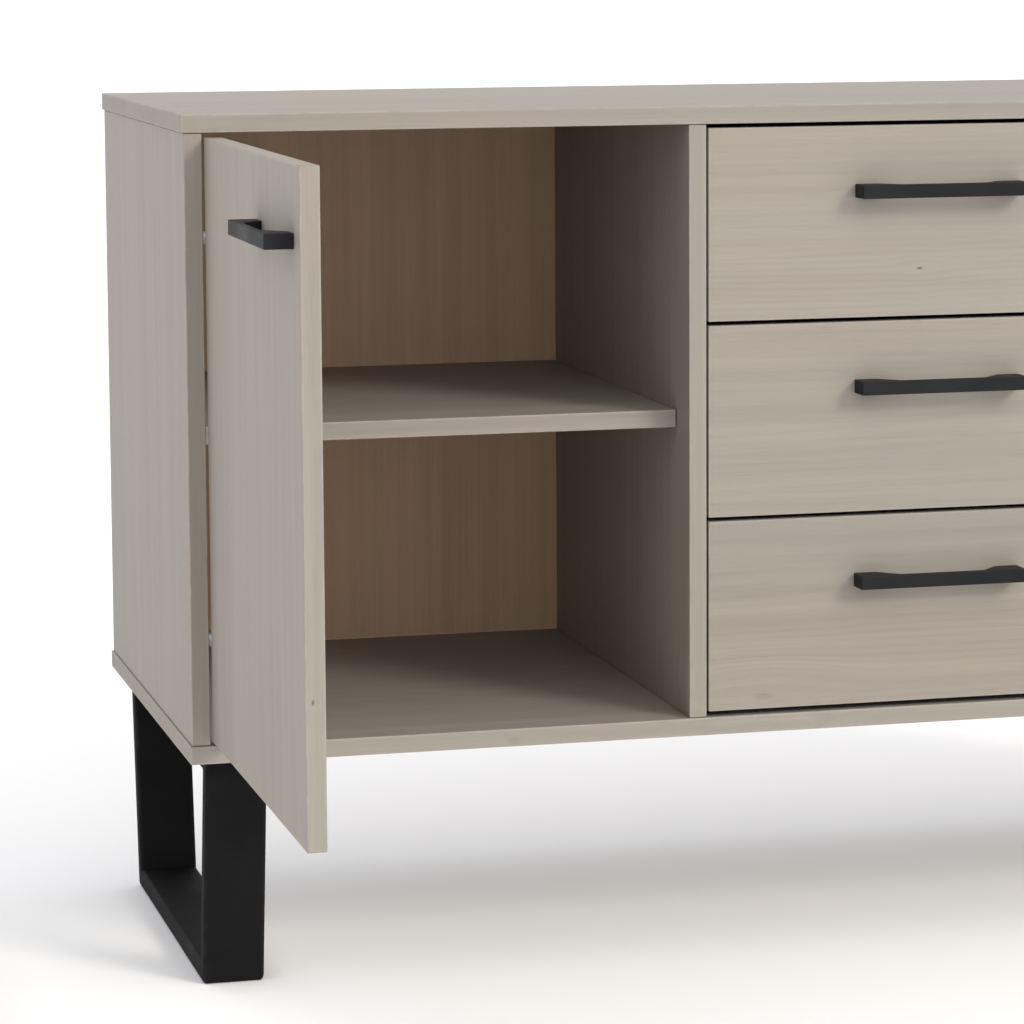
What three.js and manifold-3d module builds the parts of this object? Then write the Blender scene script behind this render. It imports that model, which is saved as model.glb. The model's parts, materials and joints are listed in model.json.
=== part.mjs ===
/**
 * Sideboard with a door at each end, three drawers between them and two steel sled legs.
 *
 * Millimetres. +X runs to the right along the front, +Y to the back and +Z up.
 * The origin is on the floor, midway along the length, and midway between the back edge
 * and the free edge of the left door, which stands open at rest.
 *
 * Inside the model everything is placed from the carcass corner: the left end of the
 * bottom board, its front edge and its underside. One group carries that corner to its
 * place above the floor.
 */
import * as THREE from 'three';
import { ConvexGeometry } from 'three/addons/geometries/ConvexGeometry.js';
import { mergeVertices } from 'three/addons/utils/BufferGeometryUtils.js';
import Module from 'manifold-3d';

// ---------------------------------------------------------------- driving dimensions

// Overall
const LENGTH = 1500;
const DEPTH = 527;
const CARCASS_HEIGHT = 618;
const LEG_HEIGHT = 229;

// Boards
const BOARD = 17.5;          // thickness of the carcass boards, the shelves and the fronts
const OVERHANG = 2;          // how far the top and bottom boards stand past the uprights
const ARRIS = 0.8;           // chamfer along every board edge
const SEAM = 0.3;            // gap between two pieces that touch

// Back and shelves
const BACK_THICKNESS = 4;
const BACK_INSET = 3.5;      // from the back edge of the top board to the back panel
const SHELF_TOP = 318;       // above the carcass underside
const SHELF_SETBACK = 42.5;  // from the front edge of the uprights
const SHELF_END_GAP = 1.2;

// Doors
const DOOR_SIDE_GAP = 2;
const DOOR_TOP_GAP = 4.5;
const DOOR_BOTTOM_GAP = 3.5;
const LEFT_DOOR_ANGLE = 90;  // degrees from closed, at rest
const RIGHT_DOOR_ANGLE = 0;

// Drawers
const DRAWER_NAMES = ['lower', 'middle', 'upper'];
const DRAWER_GAP = 4;        // between two fronts, and above the top one
const DRAWER_BOTTOM_GAP = 5.4;
const DRAWER_SIDE_GAP = 2;
const BOX_BOARD = 12;        // thickness of a drawer's sides and back
const BOX_BACK_SPACE = 49.7; // from the back of a drawer box to the back panel
const BOX_LIFT = 14;         // from the bottom of the front to the bottom of the box
const BOX_TOP_DROP = 34.53;  // from the top of the front to the top of the box
const BOX_BACK_DROP = 10;    // the back is this much lower than the sides
const TRAY_THICKNESS = 4;    // a drawer's bottom
const TRAY_LIFT = 9;         // from the bottom of the box to its tray
const GROOVE_DEPTH = 5;

// Runners
const RUNNER_SPACE = 13;     // between an upright and the side of a drawer box
const RUNNER_STEEL = 1.5;
const RUNNER_TIP_SPACE = 3.7; // what a channel's depth leaves of that space
const OUTER_RUNNER_HEIGHT = 42;
const INNER_RUNNER_HEIGHT = 30;

// Handles
const HANDLE_LENGTH = 172;
const HANDLE_HEIGHT = 13.5;
const HANDLE_PROJECTION = 25.7;
const HANDLE_BAR = 6;        // thickness of the bar
const HANDLE_FOOT = 23;      // length of each foot on the front
const HANDLE_DROP = 57;      // from the top of a front to the top of its handle
const DOOR_HANDLE_INSET = 25; // from a door's free edge to the end of its handle
const HANDLE_ARRIS = 0.9;

// Sled legs: a closed frame of flat tube
const LEG_INSET = 17.5;      // from the end of the bottom board
const LEG_TUBE_WIDTH = 60;   // along X
const LEG_TUBE = 20;         // the tube's thinner side
const LEG_TOP_BAR = 14;
const LEG_TOP_SETBACK = 20;  // from the front and back edges, at the top
const LEG_FOOT_SETBACK = 54; // the same at the floor
const LEG_ROUND = 4;

// Hinges: a cup in the door, an arm on the end board and a curved link between them
const HINGE_END_DISTANCE = 95; // from the top or bottom of the door to the middle of a hinge
const CUP_RADIUS = 17.2;
const CUP_CLEARANCE = 0.4;
const CUP_WALL = 1;
const CUP_DEPTH = 12.2;
const CUP_CENTRE = 22.5;     // from the hinge edge of the door
const CUP_WING_REACH = 27;   // above and below the middle of the cup
const CUP_WING_WIDTH = 18;
const CUP_WING_THICKNESS = 1.2;
const LINK_BOARD_GAP = 1.8;  // from the back arris of the door to the link's inner side
const LINK_STRAP = 3;
const LINK_THICKNESS = 5.5;
const LINK_LAST_ANGLE = 91.5; // degrees about the pivot, with the door closed
const LINK_SHARE = 0.655;    // of the door's angle
const LINK_GAP = 0.5;        // half the gap between the link and the arm's neck
const ARM_LENGTH = 62;
const ARM_WIDTH = 9;         // how far the arm stands off the end board
const ARM_PLATE_LENGTH = 40;
const ARM_PLATE_HEIGHT = 34;
const ARM_PLATE_THICKNESS = 3;

// ---------------------------------------------------------------- worked-out dimensions

const UPRIGHT_LOW = BOARD + SEAM;
const UPRIGHT_HIGH = CARCASS_HEIGHT - BOARD - SEAM;
const FRONT_PLANE = OVERHANG;                 // front edge of the uprights and face of the fronts
const BACK_PLANE = DEPTH - BACK_INSET - BACK_THICKNESS;
const BAY = (LENGTH - 2 * OVERHANG - 4 * BOARD) / 3;
const BAY_STARTS = [0, 1, 2].map((i) => OVERHANG + BOARD + i * (BAY + BOARD));
const OPENING_LOW = BOARD;
const OPENING_HIGH = CARCASS_HEIGHT - BOARD;
const DOOR_WIDTH = BAY - 2 * DOOR_SIDE_GAP;
const DOOR_HEIGHT = OPENING_HIGH - OPENING_LOW - DOOR_TOP_GAP - DOOR_BOTTOM_GAP;
const DRAWER_WIDTH = BAY - 2 * DRAWER_SIDE_GAP;
const DRAWER_FRONT_HEIGHT =
  (OPENING_HIGH - OPENING_LOW - DRAWER_BOTTOM_GAP - DRAWER_NAMES.length * DRAWER_GAP)
  / DRAWER_NAMES.length;
const BOX_START = FRONT_PLANE + BOARD + SEAM;
const BOX_LENGTH = BACK_PLANE - BOX_BACK_SPACE - BOX_START;
const BOX_HEIGHT = DRAWER_FRONT_HEIGHT - BOX_LIFT - BOX_TOP_DROP;
const RUNNER_REACH = RUNNER_SPACE - RUNNER_TIP_SPACE;
const LINK_INNER_RADIUS = BOARD + LINK_BOARD_GAP;
const LINK_OUTER_RADIUS = LINK_INNER_RADIUS + LINK_STRAP;
const LINK_FIRST_ANGLE =      // the link's end just clears the floor of the cup
  Math.asin((BOARD - CUP_DEPTH + CUP_WALL + SEAM) / LINK_INNER_RADIUS) * 180 / Math.PI;
const OPEN_DOOR_EDGE = FRONT_PLANE - DOOR_WIDTH;
const ORIGIN_Y = (DEPTH + OPEN_DOOR_EDGE) / 2;

// ---------------------------------------------------------------- finishes

const finish = (color, roughness, metalness) =>
  new THREE.MeshStandardMaterial({ color, roughness, metalness });
const GREIGE_WOOD = finish(0xb0a89b, 0.62, 0);
const INNER_WOOD = finish(0xa39b8e, 0.66, 0);
const BACK_BOARD = finish(0xa08b72, 0.75, 0);
const DRAWER_WOOD = finish(0xd8c7a6, 0.6, 0);
const BLACK_STEEL = finish(0x1f1f20, 0.5, 0.3);
const BLACK_HANDLE = finish(0x2d2d2e, 0.45, 0.3);
const ZINC = finish(0xb9bcc0, 0.35, 1);

// ---------------------------------------------------------------- shape helpers

const wasm = await Module();
wasm.setup();

/** Turns a closed three.js geometry into a solid that can be joined and cut. */
function solidFrom(geometry) {
  const bare = geometry.clone();
  bare.deleteAttribute('normal');
  bare.deleteAttribute('uv');
  const merged = mergeVertices(bare, 1e-4);
  return new wasm.Manifold(new wasm.Mesh({
    numProp: 3,
    vertProperties: merged.attributes.position.array,
    triVerts: merged.index.array,
  }));
}

/** The other way round: a solid's surface as a geometry. */
function geometryFrom(solid) {
  const { vertProperties, triVerts } = solid.getMesh();
  const geometry = new THREE.BufferGeometry();
  geometry.setAttribute('position', new THREE.BufferAttribute(vertProperties, 3));
  geometry.setIndex(new THREE.BufferAttribute(triVerts, 1));
  geometry.computeVertexNormals();
  return geometry;
}

/** A block about its own middle, with its twelve edges chamfered. */
function chamferedBlock(sizeX, sizeY, sizeZ, chamfer = ARRIS) {
  const half = [sizeX / 2, sizeY / 2, sizeZ / 2];
  const points = [];
  for (const signX of [-1, 1]) {
    for (const signY of [-1, 1]) {
      for (const signZ of [-1, 1]) {
        const sign = [signX, signY, signZ];
        for (const flat of [0, 1, 2]) {
          const corner = sign.map((s, axis) => s * (half[axis] - (axis === flat ? 0 : chamfer)));
          points.push(new THREE.Vector3(...corner));
        }
      }
    }
  }
  return new ConvexGeometry(points);
}

function meshAt(name, material, geometry, x, y, z) {
  const mesh = new THREE.Mesh(geometry, material);
  mesh.name = name;
  mesh.position.set(x, y, z);
  return mesh;
}

/** A board between two planes on each axis, less the cuts, which are given the same way. */
function board(name, material, spanX, spanY, spanZ, cuts = []) {
  const spans = [spanX, spanY, spanZ].map(([a, b]) => [Math.min(a, b), Math.max(a, b)]);
  const middle = spans.map(([low, high]) => (low + high) / 2);
  let geometry = chamferedBlock(...spans.map(([low, high]) => high - low));
  if (cuts.length > 0) {
    let solid = solidFrom(geometry);
    for (const cut of cuts) {
      const tool = cut.clone();
      tool.translate(-middle[0], -middle[1], -middle[2]);
      solid = solid.subtract(solidFrom(tool));
    }
    geometry = geometryFrom(solid);
  }
  return meshAt(name, material, geometry, ...middle);
}

/** A plain block between two planes on each axis, for cuts and joins. */
function block(spanX, spanY, spanZ) {
  const spans = [spanX, spanY, spanZ].map(([a, b]) => [Math.min(a, b), Math.max(a, b)]);
  const geometry = new THREE.BoxGeometry(...spans.map(([low, high]) => high - low));
  geometry.translate(...spans.map(([low, high]) => (low + high) / 2));
  return geometry;
}

/** A cylinder whose axis runs along Y, between two planes. */
function cylinderAlongY(radius, x, z, [near, far], sides = 40) {
  const geometry = new THREE.CylinderGeometry(radius, radius, far - near, sides);
  geometry.translate(x, (near + far) / 2, z);
  return geometry;
}

/** A flat outline pushed along +Z, its two faces chamfered or rounded inwards. */
function prism(shape, thickness, edge = 0, edgeSteps = 1, curveSegments = 12) {
  const geometry = new THREE.ExtrudeGeometry(shape, {
    depth: thickness - 2 * edge,
    curveSegments,
    bevelEnabled: edge > 0,
    bevelSize: edge,
    bevelThickness: edge,
    bevelOffset: -edge,
    bevelSegments: edgeSteps,
  });
  geometry.translate(0, 0, edge);
  return geometry;
}

function outline(points) {
  return new THREE.Shape(points.map(([x, y]) => new THREE.Vector2(x, y)));
}

// A profile drawn in (Y, Z) and pushed along +X, and one drawn in (X, Z) and pushed along +Y.
const PUSH_ALONG_X = new THREE.Matrix4().makeBasis(
  new THREE.Vector3(0, 1, 0),
  new THREE.Vector3(0, 0, 1),
  new THREE.Vector3(1, 0, 0),
);
const PUSH_ALONG_Y = new THREE.Matrix4().makeBasis(
  new THREE.Vector3(1, 0, 0),
  new THREE.Vector3(0, 0, 1),
  new THREE.Vector3(0, -1, 0),
);

// ---------------------------------------------------------------- carcass

function carcass() {
  const group = new THREE.Group();
  const whole = [0, LENGTH];
  group.add(board('bottom_panel', GREIGE_WOOD, whole, [0, DEPTH], [0, BOARD]));
  group.add(board('top_panel', GREIGE_WOOD, whole, [0, DEPTH],
    [CARCASS_HEIGHT - BOARD, CARCASS_HEIGHT]));

  const uprightZ = [UPRIGHT_LOW, UPRIGHT_HIGH];
  const endY = [FRONT_PLANE, DEPTH - OVERHANG];
  group.add(board('left_side_panel', GREIGE_WOOD, [OVERHANG, OVERHANG + BOARD], endY, uprightZ));
  group.add(board('right_side_panel', GREIGE_WOOD,
    [LENGTH - OVERHANG - BOARD, LENGTH - OVERHANG], endY, uprightZ));

  const dividerY = [FRONT_PLANE, BACK_PLANE - SEAM];
  group.add(board('left_divider', GREIGE_WOOD,
    [BAY_STARTS[1] - BOARD, BAY_STARTS[1]], dividerY, uprightZ));
  group.add(board('right_divider', GREIGE_WOOD,
    [BAY_STARTS[2] - BOARD, BAY_STARTS[2]], dividerY, uprightZ));

  const insideX = [OVERHANG + BOARD + SEAM, LENGTH - OVERHANG - BOARD - SEAM];
  group.add(board('back_panel', BACK_BOARD, insideX,
    [BACK_PLANE, BACK_PLANE + BACK_THICKNESS], uprightZ));

  const shelfY = [FRONT_PLANE + SHELF_SETBACK, BACK_PLANE - SEAM];
  const shelfZ = [SHELF_TOP - BOARD, SHELF_TOP];
  for (const [name, start] of [['left_shelf', BAY_STARTS[0]], ['right_shelf', BAY_STARTS[2]]]) {
    const shelfX = [start + SHELF_END_GAP, start + BAY - SHELF_END_GAP];
    group.add(board(name, INNER_WOOD, shelfX, shelfY, shelfZ));
  }
  return group;
}

// ---------------------------------------------------------------- sled legs

/** The frame's outline at a level, pulled in by an inset measured along Y. */
function legEdge(z, inset) {
  const share = -z / LEG_HEIGHT;
  const setback = LEG_TOP_SETBACK + (LEG_FOOT_SETBACK - LEG_TOP_SETBACK) * share + inset;
  return [[setback, z], [DEPTH - setback, z]];
}

function legFrame(name, startX) {
  const [topFront, topBack] = legEdge(-SEAM, 0);
  const [footFront, footBack] = legEdge(-LEG_HEIGHT, 0);
  const shape = outline([topFront, footFront, footBack, topBack]);
  const [innerTopFront, innerTopBack] = legEdge(-LEG_TOP_BAR, LEG_TUBE);
  const [innerFootFront, innerFootBack] = legEdge(LEG_TUBE - LEG_HEIGHT, LEG_TUBE);
  shape.holes.push(outline([innerTopFront, innerTopBack, innerFootBack, innerFootFront]));
  const geometry = prism(shape, LEG_TUBE_WIDTH, LEG_ROUND, 3);
  geometry.applyMatrix4(PUSH_ALONG_X);
  return meshAt(name, BLACK_STEEL, geometry, startX, 0, 0);
}

function legs() {
  const group = new THREE.Group();
  group.add(legFrame('left_leg_frame', LEG_INSET));
  group.add(legFrame('right_leg_frame', LENGTH - LEG_INSET - LEG_TUBE_WIDTH));
  return group;
}

// ---------------------------------------------------------------- handles

/** A bridge handle lying along X, its feet on the plane y = 0 and its bar out towards -Y. */
function handle(name, middleX, topZ) {
  const half = HANDLE_LENGTH / 2;
  const slope = HANDLE_PROJECTION - HANDLE_BAR;
  const shape = outline([
    [-half, -SEAM],
    [-half, -HANDLE_PROJECTION],
    [half, -HANDLE_PROJECTION],
    [half, -SEAM],
    [half - HANDLE_FOOT, -SEAM],
    [half - HANDLE_FOOT - slope, -slope],
    [-half + HANDLE_FOOT + slope, -slope],
    [-half + HANDLE_FOOT, -SEAM],
  ]);
  const geometry = prism(shape, HANDLE_HEIGHT, HANDLE_ARRIS);
  return meshAt(name, BLACK_HANDLE, geometry, middleX, FRONT_PLANE, topZ - HANDLE_HEIGHT);
}

// ---------------------------------------------------------------- doors and hinges

const radians = (degrees) => degrees * Math.PI / 180;

/** Part of a ring about the door's pivot, mirrored for a door hinged on its right. */
function ringPiece(side, firstDegrees, lastDegrees, thickness) {
  const turn = (degrees) => radians(side > 0 ? degrees : 180 - degrees);
  const shape = new THREE.Shape();
  const backwards = side < 0;
  shape.absarc(0, 0, LINK_OUTER_RADIUS, turn(firstDegrees), turn(lastDegrees), backwards);
  shape.absarc(0, 0, LINK_INNER_RADIUS, turn(lastDegrees), turn(firstDegrees), !backwards);
  return prism(shape, thickness, 0, 1, 14);
}

/** Cup: pressed steel, sunk in the door's back face, with a wing above and below. */
function hingeCup(name, side, z) {
  const backFace = BOARD;
  const x = side * CUP_CENTRE;
  const floor = backFace - CUP_DEPTH;
  const wings = block([x - CUP_WING_WIDTH / 2, x + CUP_WING_WIDTH / 2],
    [backFace + SEAM, backFace + SEAM + CUP_WING_THICKNESS], [-CUP_WING_REACH, CUP_WING_REACH]);
  const bowl = cylinderAlongY(CUP_RADIUS, x, 0, [floor, backFace + SEAM + CUP_WING_THICKNESS]);
  const hollow = cylinderAlongY(CUP_RADIUS - CUP_WALL, x, 0,
    [floor + CUP_WALL, backFace + 2 * CUP_WING_THICKNESS]);
  // The link and the arm's neck come in over the bowl's rim on the hinge side.
  const mouth = block([0, side * (CUP_CENTRE - CUP_RADIUS / 2)],
    [backFace - CUP_WALL, backFace + 2 * CUP_WING_THICKNESS],
    [-LINK_THICKNESS - 2 * LINK_GAP, LINK_THICKNESS + 2 * LINK_GAP]);
  const solid = solidFrom(bowl)
    .add(solidFrom(wings))
    .subtract(solidFrom(hollow))
    .subtract(solidFrom(mouth));
  return meshAt(name, ZINC, geometryFrom(solid), 0, 0, z);
}

/** Arm: screwed to the end board, with a curved neck that the closed door's cup takes in. */
function hingeArm(name, side, z) {
  const wall = side * (SEAM - DOOR_SIDE_GAP);
  const armStart = LINK_OUTER_RADIUS + SEAM + LINK_GAP;
  const neck = ringPiece(side, LINK_FIRST_ANGLE, 90, LINK_THICKNESS);
  neck.translate(0, 0, -LINK_THICKNESS - LINK_GAP);
  const root = block([wall, side * ARM_WIDTH / 2], [LINK_INNER_RADIUS, armStart + 1],
    [-LINK_THICKNESS - LINK_GAP, -LINK_GAP]);
  const arm = block([wall, wall + side * ARM_WIDTH], [armStart, armStart + ARM_LENGTH],
    [-LINK_THICKNESS - LINK_GAP, LINK_THICKNESS + LINK_GAP]);
  const plateStart = armStart + ARM_LENGTH - ARM_PLATE_LENGTH;
  const plate = block([wall, wall + side * ARM_PLATE_THICKNESS],
    [plateStart, plateStart + ARM_PLATE_LENGTH], [-ARM_PLATE_HEIGHT / 2, ARM_PLATE_HEIGHT / 2]);
  const solid = solidFrom(neck)
    .add(solidFrom(root))
    .add(solidFrom(arm))
    .add(solidFrom(plate));
  return meshAt(name, ZINC, geometryFrom(solid), 0, 0, z);
}

/** Link: a curved strap about the pivot, lying on the arm's neck and reaching into the cup. */
function hingeLink(name, side, z) {
  const strap = ringPiece(side, LINK_FIRST_ANGLE, LINK_LAST_ANGLE, LINK_THICKNESS);
  return meshAt(name, ZINC, strap, 0, 0, z + LINK_GAP);
}

/**
 * One door with its handle and hinges. The pivot is the door's front arris on the hinge
 * side, and the group stands there. side is 1 for a door hinged on its left, -1 on its right.
 */
function door(label, side, hingeX, angle) {
  const group = new THREE.Group();
  group.position.set(hingeX, FRONT_PLANE, OPENING_LOW + DOOR_BOTTOM_GAP);
  const hingeHeights = [
    ['lower', HINGE_END_DISTANCE],
    ['upper', DOOR_HEIGHT - HINGE_END_DISTANCE],
  ];

  const leaf = new THREE.Group();
  leaf.rotation.z = radians(-side * angle);
  const boreFloor = BOARD - CUP_DEPTH - CUP_CLEARANCE;
  const bores = hingeHeights.map(([, z]) =>
    cylinderAlongY(CUP_RADIUS + CUP_CLEARANCE, side * CUP_CENTRE, z, [boreFloor, BOARD + 1]));
  leaf.add(board(`${label}_door_panel`, GREIGE_WOOD, [0, side * DOOR_WIDTH], [0, BOARD],
    [0, DOOR_HEIGHT], bores));
  const handleX = side * (DOOR_WIDTH - DOOR_HANDLE_INSET - HANDLE_LENGTH / 2);
  const pull = handle(`${label}_door_handle`, handleX, DOOR_HEIGHT - HANDLE_DROP);
  pull.position.y = 0;
  leaf.add(pull);

  const links = new THREE.Group();
  links.rotation.z = radians(-side * angle * LINK_SHARE);
  for (const [level, z] of hingeHeights) {
    leaf.add(hingeCup(`${label}_door_${level}_hinge_cup`, side, z));
    links.add(hingeLink(`${label}_door_${level}_hinge_link`, side, z));
    group.add(hingeArm(`${label}_door_${level}_hinge_arm`, side, z));
  }
  group.add(leaf, links);
  return group;
}

function doors() {
  const group = new THREE.Group();
  const leftHinge = BAY_STARTS[0] + DOOR_SIDE_GAP;
  const rightHinge = BAY_STARTS[2] + BAY - DOOR_SIDE_GAP;
  group.add(door('left', 1, leftHinge, LEFT_DOOR_ANGLE));
  group.add(door('right', -1, rightHinge, RIGHT_DOOR_ANGLE));
  return group;
}

// ---------------------------------------------------------------- drawers and runners

/** A channel along Y: its web at x = 0 and its two flanges out to the reach. */
function channel(name, height, reach, webX, middleZ, startY) {
  const half = height / 2;
  const steel = Math.sign(reach) * RUNNER_STEEL;
  const shape = outline([
    [0, -half],
    [reach, -half],
    [reach, -half + RUNNER_STEEL],
    [steel, -half + RUNNER_STEEL],
    [steel, half - RUNNER_STEEL],
    [reach, half - RUNNER_STEEL],
    [reach, half],
    [0, half],
  ]);
  const geometry = prism(shape, BOX_LENGTH);
  geometry.applyMatrix4(PUSH_ALONG_Y);
  return meshAt(name, ZINC, geometry, webX, startY + BOX_LENGTH, middleZ);
}

function drawer(label, frontLow) {
  const group = new THREE.Group();
  const frontStart = BAY_STARTS[1] + DRAWER_SIDE_GAP;
  const frontX = [frontStart, frontStart + DRAWER_WIDTH];
  const frontBack = FRONT_PLANE + BOARD;
  const boxX = [BAY_STARTS[1] + RUNNER_SPACE, BAY_STARTS[1] + BAY - RUNNER_SPACE];
  const boxY = [BOX_START, BOX_START + BOX_LENGTH];
  const boxLow = frontLow + BOX_LIFT;
  const innerX = [boxX[0] + BOX_BOARD, boxX[1] - BOX_BOARD];

  // The tray slides in a groove in the front and the two sides, and passes under the back.
  const trayLow = boxLow + TRAY_LIFT;
  const grooveZ = [trayLow - SEAM, trayLow + TRAY_THICKNESS + SEAM];
  const grooveX = [innerX[0] - GROOVE_DEPTH, innerX[1] + GROOVE_DEPTH];
  const sideGroove = block(grooveX, [boxY[0] - 1, boxY[1] + 1], grooveZ);
  const frontGroove = block(grooveX, [frontBack - GROOVE_DEPTH, frontBack + 1], grooveZ);

  group.add(board(`${label}_drawer_front`, GREIGE_WOOD, frontX, [FRONT_PLANE, frontBack],
    [frontLow, frontLow + DRAWER_FRONT_HEIGHT], [frontGroove]));
  const sideZ = [boxLow, boxLow + BOX_HEIGHT];
  group.add(board(`${label}_drawer_left_side`, DRAWER_WOOD, [boxX[0], innerX[0]], boxY, sideZ,
    [sideGroove]));
  group.add(board(`${label}_drawer_right_side`, DRAWER_WOOD, [innerX[1], boxX[1]], boxY, sideZ,
    [sideGroove]));
  group.add(board(`${label}_drawer_back`, DRAWER_WOOD, [innerX[0] + SEAM, innerX[1] - SEAM],
    [boxY[1] - BOX_BOARD, boxY[1]],
    [trayLow + TRAY_THICKNESS + SEAM, sideZ[1] - BOX_BACK_DROP]));
  group.add(board(`${label}_drawer_bottom`, DRAWER_WOOD, [grooveX[0] + SEAM, grooveX[1] - SEAM],
    [frontBack - GROOVE_DEPTH + SEAM, boxY[1]], [trayLow, trayLow + TRAY_THICKNESS]));
  group.add(handle(`${label}_drawer_handle`, (frontX[0] + frontX[1]) / 2,
    frontLow + DRAWER_FRONT_HEIGHT - HANDLE_DROP));

  const runnerZ = boxLow + BOX_HEIGHT / 2;
  for (const [hand, side, uprightX, boxSideX] of [
    ['left', 1, BAY_STARTS[1], boxX[0]],
    ['right', -1, BAY_STARTS[1] + BAY, boxX[1]],
  ]) {
    group.add(channel(`${label}_${hand}_cabinet_runner`, OUTER_RUNNER_HEIGHT,
      side * RUNNER_REACH, uprightX + side * SEAM, runnerZ, boxY[0]));
    group.add(channel(`${label}_${hand}_drawer_runner`, INNER_RUNNER_HEIGHT,
      -side * RUNNER_REACH, boxSideX - side * SEAM, runnerZ, boxY[0]));
  }
  return group;
}

function drawers() {
  const group = new THREE.Group();
  DRAWER_NAMES.forEach((label, i) => {
    const low = OPENING_LOW + DRAWER_BOTTOM_GAP + i * (DRAWER_FRONT_HEIGHT + DRAWER_GAP);
    group.add(drawer(label, low));
  });
  return group;
}

// ---------------------------------------------------------------- the whole sideboard

const sideboard = new THREE.Group();
sideboard.name = 'sideboard';
const fromCorner = new THREE.Group();
fromCorner.position.set(-LENGTH / 2, -ORIGIN_Y, LEG_HEIGHT);
fromCorner.add(carcass(), legs(), doors(), drawers());
sideboard.add(fromCorner);

export default sideboard;
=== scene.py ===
import json
import math

import bmesh
import bpy
import numpy as np
from bpy.props import FloatProperty, FloatVectorProperty, IntProperty, PointerProperty
from bpy.types import Operator, Panel, PropertyGroup
from mathutils import Matrix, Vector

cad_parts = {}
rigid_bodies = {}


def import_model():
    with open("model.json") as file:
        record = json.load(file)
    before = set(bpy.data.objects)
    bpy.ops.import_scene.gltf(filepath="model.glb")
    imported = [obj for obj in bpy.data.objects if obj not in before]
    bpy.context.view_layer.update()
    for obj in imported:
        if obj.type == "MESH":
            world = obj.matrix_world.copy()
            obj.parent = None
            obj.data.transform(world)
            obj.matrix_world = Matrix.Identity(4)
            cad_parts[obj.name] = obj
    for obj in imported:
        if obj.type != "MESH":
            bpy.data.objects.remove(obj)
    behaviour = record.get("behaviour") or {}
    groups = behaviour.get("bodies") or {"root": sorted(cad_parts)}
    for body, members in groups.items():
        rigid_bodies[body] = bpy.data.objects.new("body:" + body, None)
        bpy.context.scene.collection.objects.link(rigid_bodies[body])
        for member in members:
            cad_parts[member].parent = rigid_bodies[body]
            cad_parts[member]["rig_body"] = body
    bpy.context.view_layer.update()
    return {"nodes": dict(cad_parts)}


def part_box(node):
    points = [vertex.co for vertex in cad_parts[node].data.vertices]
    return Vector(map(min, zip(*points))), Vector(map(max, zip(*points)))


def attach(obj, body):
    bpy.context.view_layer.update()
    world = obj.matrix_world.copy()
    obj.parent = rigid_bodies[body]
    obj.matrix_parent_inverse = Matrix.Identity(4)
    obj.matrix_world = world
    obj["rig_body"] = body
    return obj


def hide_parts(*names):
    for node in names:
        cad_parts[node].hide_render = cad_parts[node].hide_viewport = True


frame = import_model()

bl_info = {
    "name": "Sideboard with sled legs",
    "version": (1, 0, 0),
    "blender": (4, 5, 0),
    "location": "3D View > Sidebar > Sideboard",
    "description": "Builds the finished boards, fittings and studio around the sideboard's frame",
    "category": "Object",
}

X, Y, Z = 0, 1, 2

# Which way the grain runs in each board.
CARCASS_GRAIN = {
    "top_panel": X, "bottom_panel": X, "left_side_panel": Z, "right_side_panel": Z,
    "left_divider": Z, "right_divider": Z,
}
SHELVES = ("left_shelf", "right_shelf")
DRAWERS = ("lower", "middle", "upper")
DOORS = ("left", "right")
LEVELS = ("lower", "upper")
SIDES = ("left", "right")
LEG_FRAMES = ("left_leg_frame", "right_leg_frame")
BOTH_WAYS = np.array([-1.0, 1.0])

# Screw heads: radius and height. Their rings are shares of the radius, and the dome's fall and
# the cross's depth are shares of the height.
SCREWS = {
    "back": (0.0030, 0.0009), "cup": (0.0031, 0.0009), "arm": (0.0034, 0.0012),
    "runner": (0.0034, 0.0010), "handle": (0.0040, 0.0018), "leg": (0.0055, 0.0022),
}
HEAD_RINGS = (0.0, 0.16, 0.32, 0.48, 0.62, 0.8)
HEAD_RIM = ((0.94, 0.4), (1.0, 0.12))
HEAD_DOME = 0.55
CROSS_DEPTH = 0.75
CONTACT = 0.00002  # between a fitting's last ring and the face it is fixed to

# A shelf pin, turned: radius, and height above the board it stands in. The collar comes last.
SHELF_PIN = (
    (0.0, 0.0080), (0.0018, 0.0080), (0.0024, 0.0075), (0.0024, 0.0011), (0.0038, 0.0010),
    (0.0041, 0.0007), (0.0041, CONTACT),
)
PIN_INSET = 0.060  # from a shelf's front or back edge to its pins
PIN_DROP = 0.00245  # from a shelf's underside to the middle of its pins

# Where screws stand, from the middle of their piece unless it says otherwise.
BACK_SCREW_MARGIN = 0.035  # from the lower and upper edge of the back
BACK_SCREW_COUNT = 5  # in each of its lines
CUP_SCREW_REACH = 0.0222
ARM_SCREW_REACH = 0.0117
ARM_SCREW_INSET = 0.020  # from the rear end of the arm
ARM_PLATE = 0.0030  # thickness of the plate under the arm's screws
RUNNER_SCREWS = np.array([0.09, 0.5, 0.91])  # shares of the runner's length
LEG_SCREW_SIDE = 0.016  # along X
LEG_SCREW_REACH = 0.17  # along Y

# Bent channels of the runners.
RUNNER_STEEL = 0.0015
RUNNER_END = 0.0003  # rounding of the sawn ends
FOLD, CUT, INNER_FOLD = 0.0018, 0.0005, 0.0006

THIN_STEPS = 2  # flats in a quarter turn of a thin board's edge
ARRIS_FACING = 0.6  # how nearly a face looks outwards to count as edge or flat
TURNED_CREASE = math.radians(40)
HINGE_CREASE = math.radians(35)

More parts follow.
